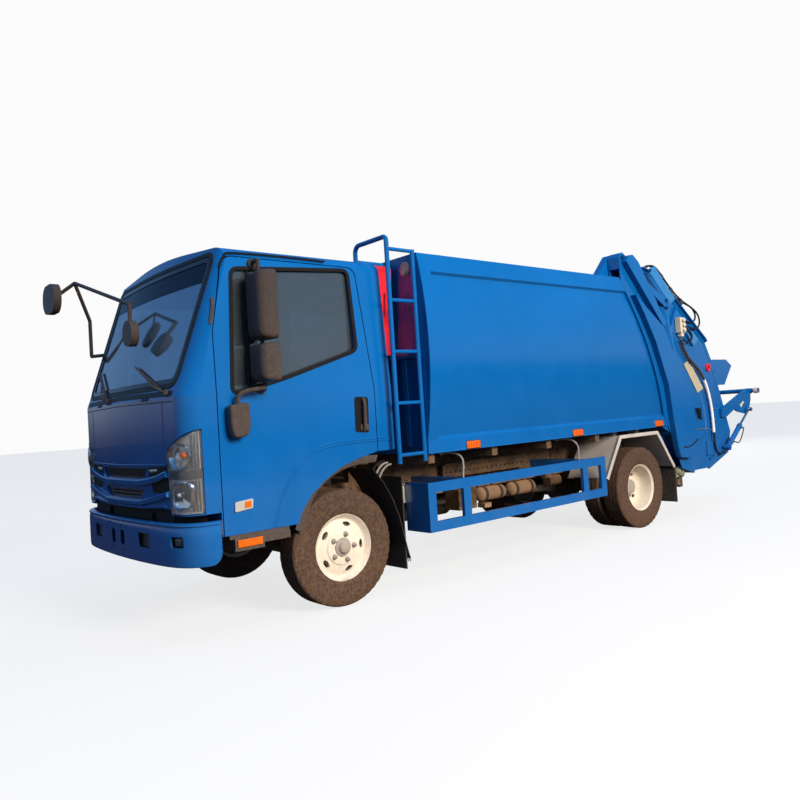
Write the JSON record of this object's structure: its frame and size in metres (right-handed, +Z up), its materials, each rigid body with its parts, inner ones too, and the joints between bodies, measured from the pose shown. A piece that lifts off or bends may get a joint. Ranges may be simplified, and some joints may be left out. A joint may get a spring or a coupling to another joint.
{
  "type": "rear-loading garbage truck",
  "caption": "Cab-over garbage truck with a tilting cab, steered front wheels, twin rear wheels, and a load body with a lifting compactor tailgate and bin lifter.",
  "frame": {"origin": "on the ground under the middle of the whole truck's box", "axes": "+X to the truck's left, +Y to its rear, +Z up"},
  "size_m": [2.224, 7.173, 2.6363],
  "materials": {
    "body_blue": "glossy enamel",
    "frame_paint": "satin black-brown chassis paint",
    "axle_iron": "painted casting",
    "tyre": "dusty black rubber",
    "wheel_paint": "cream enamel",
    "glass": "lightly tinted glass",
    "black_plastic": "moulded black plastic",
    "lamp_clear": "clear lens over silver reflectors",
    "amber": "amber lens",
    "red_lens": "red and amber lens",
    "red_paint": "glossy red enamel",
    "fender_grey": "grey primer",
    "rubber": "matt rubber",
    "rod_steel": "chromed rod",
    "seat_fabric": "woven seat cloth",
    "engine_metal": "engine block",
    "tank_metal": "plain tank"
  },
  "bodies": {
    "root": {"chassis_frame": "frame_paint", "front_axle": "axle_iron", "rear_axle": "axle_iron", "leaf_springs": "frame_paint", "engine": "engine_metal", "driveshaft": "tank_metal", "fuel_tank": "tank_metal", "battery_box": "black_plastic", "front_bumper": "body_blue", "fog_lamps": "lamp_clear", "side_guards": "body_blue", "rear_fenders": "fender_grey", "mud_flaps": "rubber", "side_markers": "amber", "subframe": "frame_paint", "body_shell": "body_blue", "ladder": "body_blue", "red_tank": "red_paint", "tail_lamps": "red_lens"},
    "cab": {"cab_shell": "body_blue", "cab_glass": "glass", "headlamps": "lamp_clear", "front_grille": "black_plastic", "seats": "seat_fabric", "dashboard": "black_plastic", "steering_wheel": "black_plastic", "cab_steps": "black_plastic", "front_mirrors": "black_plastic"},
    "door_left": {"door_left": "body_blue", "door_glass_left": "glass", "mirrors_left": "black_plastic"},
    "door_right": {"door_right": "body_blue", "door_glass_right": "glass", "mirrors_right": "black_plastic"},
    "knuckle_left": {"knuckle_left": "axle_iron"},
    "knuckle_right": {"knuckle_right": "axle_iron"},
    "tie_rod": {"tie_rod": "axle_iron"},
    "wheel_front_left": {"tyre_front_left": "tyre", "rim_front_left": "wheel_paint"},
    "wheel_front_right": {"tyre_front_right": "tyre", "rim_front_right": "wheel_paint"},
    "wheel_rear_left": {"tyres_rear_left": "tyre", "rims_rear_left": "wheel_paint"},
    "wheel_rear_right": {"tyres_rear_right": "tyre", "rims_rear_right": "wheel_paint"},
    "tailgate": {"tailgate": "body_blue", "slide_barrels": "body_blue"},
    "gate_barrel": {"gate_barrels": "body_blue"},
    "gate_rod": {"gate_rods": "rod_steel"},
    "carriage": {"carriage": "body_blue"},
    "packer": {"packer_blade": "body_blue"},
    "ejector": {"ejector": "body_blue"},
    "bin_lifter": {"bin_lifter": "body_blue"},
    "bin_barrel": {"bin_barrels": "body_blue"},
    "bin_rod": {"bin_rods": "rod_steel"}
  },
  "joints": [
    {"name": "cab_tilt", "type": "hinge", "parent": "root", "child": "cab", "pos_m": [0, -3.347, 0.66], "axis": [1, 0, 0], "range_deg": [0, 45]},
    {"name": "door_left_hinge", "type": "hinge", "parent": "cab", "child": "door_left", "pos_m": [0.9, -3.13, 1], "axis": [0, 0, -1], "range_deg": [0, 70]},
    {"name": "door_right_hinge", "type": "hinge", "parent": "cab", "child": "door_right", "pos_m": [-0.9, -3.13, 1], "axis": [0, 0, 1], "range_deg": [0, 70]},
    {"name": "steer_left", "type": "hinge", "parent": "root", "child": "knuckle_left", "pos_m": [0.636, -2.272, 0.3875], "axis": [0, 0, 1], "range_deg": [-35, 35]},
    {"name": "steer_right", "type": "hinge", "parent": "root", "child": "knuckle_right", "pos_m": [-0.636, -2.272, 0.3875], "axis": [0, 0, 1], "range_deg": [-35, 35]},
    {"name": "tie_rod_pivot", "type": "hinge", "parent": "knuckle_left", "child": "tie_rod", "pos_m": [0.636, -2.121, 0.2317], "axis": [0, 0, 1], "range_deg": [-35, 35]},
    {"name": "wheel_front_left_spin", "type": "hinge", "parent": "knuckle_left", "child": "wheel_front_left", "pos_m": [0.768, -2.272, 0.3875], "axis": [1, 0, 0], "continuous": true},
    {"name": "wheel_front_right_spin", "type": "hinge", "parent": "knuckle_right", "child": "wheel_front_right", "pos_m": [-0.768, -2.272, 0.3875], "axis": [1, 0, 0], "continuous": true},
    {"name": "wheel_rear_left_spin", "type": "hinge", "parent": "root", "child": "wheel_rear_left", "pos_m": [0.751, 1.088, 0.3875], "axis": [1, 0, 0], "continuous": true},
    {"name": "wheel_rear_right_spin", "type": "hinge", "parent": "root", "child": "wheel_rear_right", "pos_m": [-0.751, 1.088, 0.3875], "axis": [1, 0, 0], "continuous": true},
    {"name": "tailgate_lift", "type": "hinge", "parent": "root", "child": "tailgate", "pos_m": [0, 0.967, 2.588], "axis": [1, 0, 0], "range_deg": [0, 85]},
    {"name": "gate_barrel_swing", "type": "hinge", "parent": "root", "child": "gate_barrel", "pos_m": [0, 1.633, 0.89], "axis": [1, 0, 0], "range_deg": [-7.38, 0.01]},
    {"name": "gate_rod_slide", "type": "slide", "parent": "gate_barrel", "child": "gate_rod", "axis": [0, -0.2943, 0.9557], "range_m": [0, 0.49449]},
    {"name": "carriage_slide", "type": "slide", "parent": "tailgate", "child": "carriage", "axis": [0, 0.2419, -0.9703], "range_m": [0, 0.52]},
    {"name": "packer_swing", "type": "hinge", "parent": "carriage", "child": "packer", "pos_m": [0, 1.84315, 1.54751], "axis": [1, 0, 0], "range_deg": [0, 70]},
    {"name": "ejector_slide", "type": "slide", "parent": "root", "child": "ejector", "axis": [0, 1, 0], "range_m": [0, 2.3]},
    {"name": "bin_lifter_swing", "type": "hinge", "parent": "tailgate", "child": "bin_lifter", "pos_m": [0, 2.909, 1.01], "axis": [1, 0, 0], "range_deg": [0, 75]},
    {"name": "bin_barrel_swing", "type": "hinge", "parent": "tailgate", "child": "bin_barrel", "pos_m": [0, 2.866, 0.622], "axis": [1, 0, 0], "range_deg": [-0.01, 44.6]},
    {"name": "bin_rod_slide", "type": "slide", "parent": "bin_barrel", "child": "bin_rod", "axis": [0, 0.8202, 0.572], "range_m": [0, 0.2198]}
  ],
  "couplings": [
    {"joint": "steer_right", "follows": "steer_left", "ratio": 1},
    {"joint": "tie_rod_pivot", "follows": "steer_left", "ratio": -1},
    {"joint": "gate_barrel_swing", "follows": "tailgate_lift", "ratio": -0.086693},
    {"joint": "gate_rod_slide", "follows": "tailgate_lift", "m_per_rad": 0.33326},
    {"joint": "bin_barrel_swing", "follows": "bin_lifter_swing", "ratio": 0.59449},
    {"joint": "bin_rod_slide", "follows": "bin_lifter_swing", "m_per_rad": 0.16784}
  ]
}
